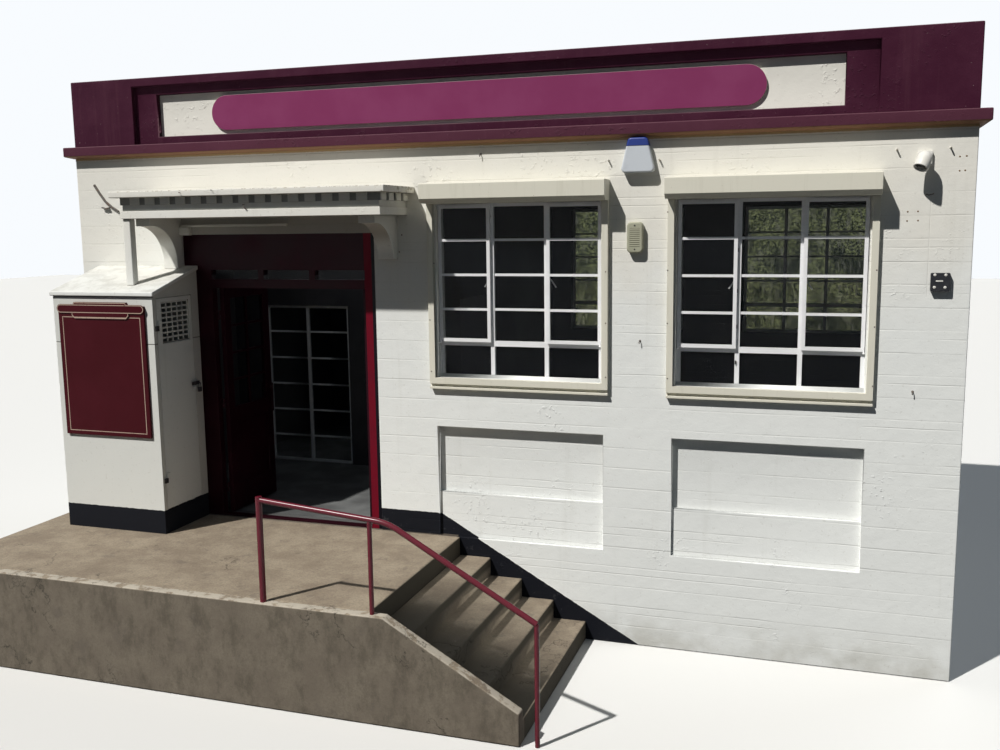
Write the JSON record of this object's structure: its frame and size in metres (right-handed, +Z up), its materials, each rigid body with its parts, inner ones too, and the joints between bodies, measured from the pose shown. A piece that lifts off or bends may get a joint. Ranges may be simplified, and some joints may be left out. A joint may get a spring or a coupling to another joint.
{
  "type": "funicular station building",
  "caption": "Small flat-roofed clifftop station building: parapet with blank sign board, steel windows with shutter boxes, canopied double doors, corner booth, landing and steps.",
  "frame": {"origin": "middle of the building's plan, at the foot of its walls", "axes": "+X along the front to the right as seen from the entrance side, +Y from the front to the platform side, +Z up"},
  "size_m": [8.42, 7.25, 5.14],
  "materials": {
    "white_wall": "painted rough concrete",
    "white_render": "painted render",
    "maroon_render": "painted render",
    "sign_maroon": "satin",
    "roof": "grey felt",
    "floor": "plain concrete",
    "white_steel": "gloss",
    "glass": "clear",
    "shutter_cream": "powder coat",
    "maroon_timber": "gloss paint",
    "dark_steel": "dull",
    "notice_maroon": "satin",
    "plaster": "painted plaster",
    "screen_cream": "paint",
    "paving": "worn concrete",
    "rail_maroon": "gloss",
    "alarm_white": "gloss",
    "sounder_beige": "aged",
    "camera_white": "satin",
    "switch_black": "satin",
    "gutter_black": "gloss paint"
  },
  "bodies": {
    "building": {"floor_slab": "floor", "front_wall": "white_wall", "back_wall": "white_wall", "left_wall": "white_wall", "right_wall": "white_wall", "roof_slab": "white_wall", "roof_felt": "roof", "cornice": "maroon_render", "parapet": "maroon_render", "sign_board": "sign_maroon", "front_windows": "white_steel", "front_glass": "glass", "shutter_boxes": "shutter_cream", "shutter_guides": "shutter_cream", "entrance_frame": "maroon_timber", "entrance_fanlight": "glass", "platform_frame": "maroon_timber", "canopy_slab": "white_render", "canopy_frieze": "white_render", "corbels": "white_render", "canopy_post": "white_render", "booth_walls": "white_wall", "booth_coping": "white_render", "booth_hinges": "dark_steel", "notice_board": "notice_maroon", "partition_wall": "plaster", "lobby_wall": "plaster", "lobby_screen": "screen_cream", "lobby_glass": "glass", "back_windows": "white_steel", "back_glass": "glass", "landing": "paving", "steps": "paving", "handrail": "rail_maroon", "alarm_box": "alarm_white", "sounder_box": "sounder_beige", "camera": "camera_white", "switch_box": "switch_black", "gutter": "gutter_black", "downpipes": "gutter_black"},
    "entrance_leaf_left": {"entrance_leaf_left": "maroon_timber", "entrance_glass_left": "glass"},
    "entrance_leaf_right": {"entrance_leaf_right": "maroon_timber", "entrance_glass_right": "glass"},
    "platform_leaf_left": {"platform_leaf_left": "maroon_timber", "platform_glass_left": "glass"},
    "platform_leaf_right": {"platform_leaf_right": "maroon_timber", "platform_glass_right": "glass"},
    "booth_door": {"booth_door": "white_render", "booth_grille": "dark_steel"},
    "casement_1": {"casement_1": "white_steel", "casement_glass_1": "glass"},
    "casement_2": {"casement_2": "white_steel", "casement_glass_2": "glass"},
    "casement_3": {"casement_3": "white_steel", "casement_glass_3": "glass"},
    "casement_4": {"casement_4": "white_steel", "casement_glass_4": "glass"}
  },
  "joints": [
    {"name": "entrance_swing_left", "type": "hinge", "parent": "building", "child": "entrance_leaf_left", "pos_m": [-2.62, -2.413, 0.87], "axis": [0, 0, 1], "range_deg": [-90, 0]},
    {"name": "entrance_swing_right", "type": "hinge", "parent": "building", "child": "entrance_leaf_right", "pos_m": [-0.99, -2.413, 0.87], "axis": [0, 0, 1], "range_deg": [0, 90]},
    {"name": "platform_swing_left", "type": "hinge", "parent": "building", "child": "platform_leaf_left", "pos_m": [-1.38, 2.413, 0.87], "axis": [0, 0, 1], "range_deg": [0, 90]},
    {"name": "platform_swing_right", "type": "hinge", "parent": "building", "child": "platform_leaf_right", "pos_m": [-2.85, 2.413, 0.87], "axis": [0, 0, 1], "range_deg": [-90, 0]},
    {"name": "booth_door_swing", "type": "hinge", "parent": "building", "child": "booth_door", "pos_m": [-2.772, -3.164, 1.08], "axis": [0, 0, 1], "range_deg": [-95, 0]},
    {"name": "casement_swing_1", "type": "hinge", "parent": "building", "child": "casement_1", "pos_m": [-0.253, -2.491, 2.66], "axis": [0, 0, 1], "range_deg": [-80, 0]},
    {"name": "casement_swing_2", "type": "hinge", "parent": "building", "child": "casement_2", "pos_m": [1.223, -2.491, 2.66], "axis": [0, 0, 1], "range_deg": [0, 80]},
    {"name": "casement_swing_3", "type": "hinge", "parent": "building", "child": "casement_3", "pos_m": [1.887, -2.491, 2.66], "axis": [0, 0, 1], "range_deg": [-80, 0]},
    {"name": "casement_swing_4", "type": "hinge", "parent": "building", "child": "casement_4", "pos_m": [3.363, -2.491, 2.66], "axis": [0, 0, 1], "range_deg": [0, 80]}
  ]
}
